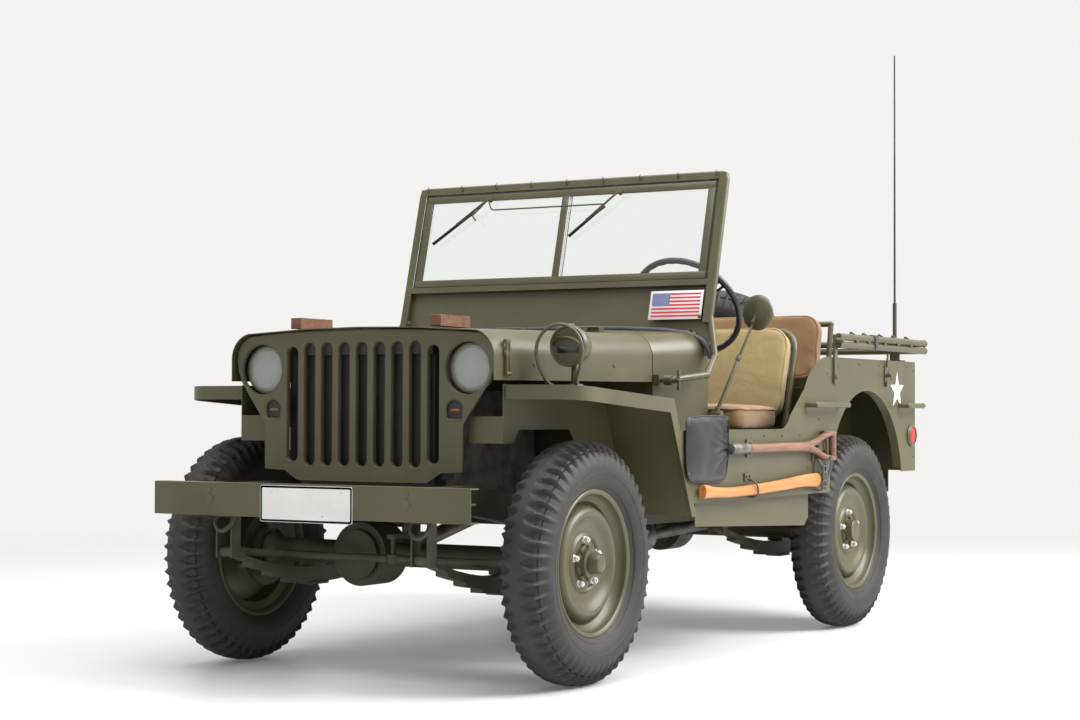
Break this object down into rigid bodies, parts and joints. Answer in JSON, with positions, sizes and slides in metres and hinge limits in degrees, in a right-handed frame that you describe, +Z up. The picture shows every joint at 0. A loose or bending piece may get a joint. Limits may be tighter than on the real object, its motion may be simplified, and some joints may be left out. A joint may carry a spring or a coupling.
{
  "type": "light open 4x4 army car",
  "caption": "Light open 4x4 army car with slotted front panel, folding windshield, canvas seats, rear spare wheel and lug tyres.",
  "frame": {"origin": "on the ground at the centre of the car's bounding box", "axes": "+X to the car's left, the front of the car faces -Y, +Z up"},
  "size_m": [1.577, 3.289, 2.2323],
  "materials": {
    "olive_paint": "satin",
    "chassis_paint": "matt",
    "bare_steel": "dull",
    "black_metal": "matt",
    "tyre_rubber": "matt",
    "canvas": "woven",
    "brown_wood": "oiled",
    "white_plate": "gloss",
    "lamp_metal": "clear",
    "red_lens": "gloss",
    "black_plastic": "satin",
    "window_glass": "clear"
  },
  "bodies": {
    "car": {"left_rail": "chassis_paint", "right_rail": "chassis_paint", "frame_ties": "chassis_paint", "front_bumper": "olive_paint", "number_plate": "white_plate", "grille": "olive_paint", "radiator": "black_metal", "front_lamps": "lamp_metal", "fenders": "olive_paint", "fender_lamp": "olive_paint", "engine_block": "bare_steel", "gearbox": "chassis_paint", "propshafts": "bare_steel", "exhaust": "bare_steel", "cowl": "olive_paint", "front_floor": "olive_paint", "rear_deck": "olive_paint", "wheel_boxes": "olive_paint", "side_panels": "olive_paint", "rear_panel": "olive_paint", "driver_seat_frame": "olive_paint", "driver_cushions": "canvas", "rear_seat_frame": "olive_paint", "rear_cushion": "canvas", "steering_column": "chassis_paint", "side_mirror": "olive_paint", "front_axle": "chassis_paint", "rear_axle": "chassis_paint", "leaf_springs": "chassis_paint", "spare_rim": "olive_paint", "spare_tyre": "tyre_rubber", "rear_bumpers": "chassis_paint", "top_bows": "olive_paint", "antenna": "chassis_paint", "hand_tools": "brown_wood", "side_handles": "olive_paint", "reflectors": "red_lens"},
    "hood": {"hood": "olive_paint", "hood_blocks": "brown_wood"},
    "windshield": {"windshield_frame": "olive_paint", "windshield_glass": "window_glass"},
    "passenger_seat": {"passenger_seat_frame": "olive_paint", "passenger_cushions": "canvas"},
    "rear_back": {"rear_back_frame": "olive_paint", "rear_back_cushion": "canvas"},
    "steering_wheel": {"steering_wheel": "black_plastic"},
    "left_knuckle": {"left_knuckle": "chassis_paint"},
    "right_knuckle": {"right_knuckle": "chassis_paint"},
    "tie_rod": {"tie_rod": "chassis_paint"},
    "bell_crank": {"bell_crank": "chassis_paint"},
    "front_left_wheel": {"front_left_rim": "olive_paint", "front_left_tyre": "tyre_rubber"},
    "front_right_wheel": {"front_right_rim": "olive_paint", "front_right_tyre": "tyre_rubber"},
    "rear_left_wheel": {"rear_left_rim": "olive_paint", "rear_left_tyre": "tyre_rubber"},
    "rear_right_wheel": {"rear_right_rim": "olive_paint", "rear_right_tyre": "tyre_rubber"}
  },
  "joints": [
    {"name": "left_steer", "type": "hinge", "parent": "car", "child": "left_knuckle", "pos_m": [0.5245, -1.1255, 0.365], "axis": [0, 0, 1], "range_deg": [-26, 26]},
    {"name": "right_steer", "type": "hinge", "parent": "car", "child": "right_knuckle", "pos_m": [-0.5245, -1.1255, 0.365], "axis": [0, 0, 1], "range_deg": [-26, 26]},
    {"name": "tie_rod_pin", "type": "hinge", "parent": "left_knuckle", "child": "tie_rod", "pos_m": [0.5245, -1.2755, 0.365], "axis": [0, 0, 1], "range_deg": [-26, 26]},
    {"name": "bell_crank_turn", "type": "hinge", "parent": "car", "child": "bell_crank", "pos_m": [0.06, -1.1255, 0.365], "axis": [0, 0, 1], "range_deg": [-26, 26]},
    {"name": "steering_wheel_turn", "type": "hinge", "parent": "car", "child": "steering_wheel", "pos_m": [0.4, 0.0385, 1.185], "axis": [0, 0.8028, 0.5962], "range_deg": [-364, 364]},
    {"name": "front_left_spin", "type": "hinge", "parent": "left_knuckle", "child": "front_left_wheel", "pos_m": [0.6225, -1.1255, 0.365], "axis": [1, 0, 0], "continuous": true},
    {"name": "front_right_spin", "type": "hinge", "parent": "right_knuckle", "child": "front_right_wheel", "pos_m": [-0.6225, -1.1255, 0.365], "axis": [1, 0, 0], "continuous": true},
    {"name": "rear_left_spin", "type": "hinge", "parent": "car", "child": "rear_left_wheel", "pos_m": [0.6225, 0.9065, 0.365], "axis": [1, 0, 0], "continuous": true},
    {"name": "rear_right_spin", "type": "hinge", "parent": "car", "child": "rear_right_wheel", "pos_m": [-0.6225, 0.9065, 0.365], "axis": [1, 0, 0], "continuous": true},
    {"name": "hood_open", "type": "hinge", "parent": "car", "child": "hood", "pos_m": [0, -0.511, 1.094], "axis": [1, 0, 0], "range_deg": [-105, 0]},
    {"name": "windshield_fold", "type": "hinge", "parent": "car", "child": "windshield", "pos_m": [0, -0.4915, 0.918], "axis": [1, 0, 0], "range_deg": [0, 104]},
    {"name": "passenger_seat_tip", "type": "hinge", "parent": "car", "child": "passenger_seat", "pos_m": [-0.41, -0.0155, 0.552], "axis": [1, 0, 0], "range_deg": [0, 45]},
    {"name": "rear_back_fold", "type": "hinge", "parent": "car", "child": "rear_back", "pos_m": [0, 1.2065, 0.81], "axis": [1, 0, 0], "range_deg": [0, 40]}
  ],
  "couplings": [
    {"joint": "right_steer", "follows": "left_steer", "ratio": 1},
    {"joint": "tie_rod_pin", "follows": "left_steer", "ratio": -1},
    {"joint": "bell_crank_turn", "follows": "left_steer", "ratio": 1},
    {"joint": "steering_wheel_turn", "follows": "left_steer", "ratio": 14}
  ]
}
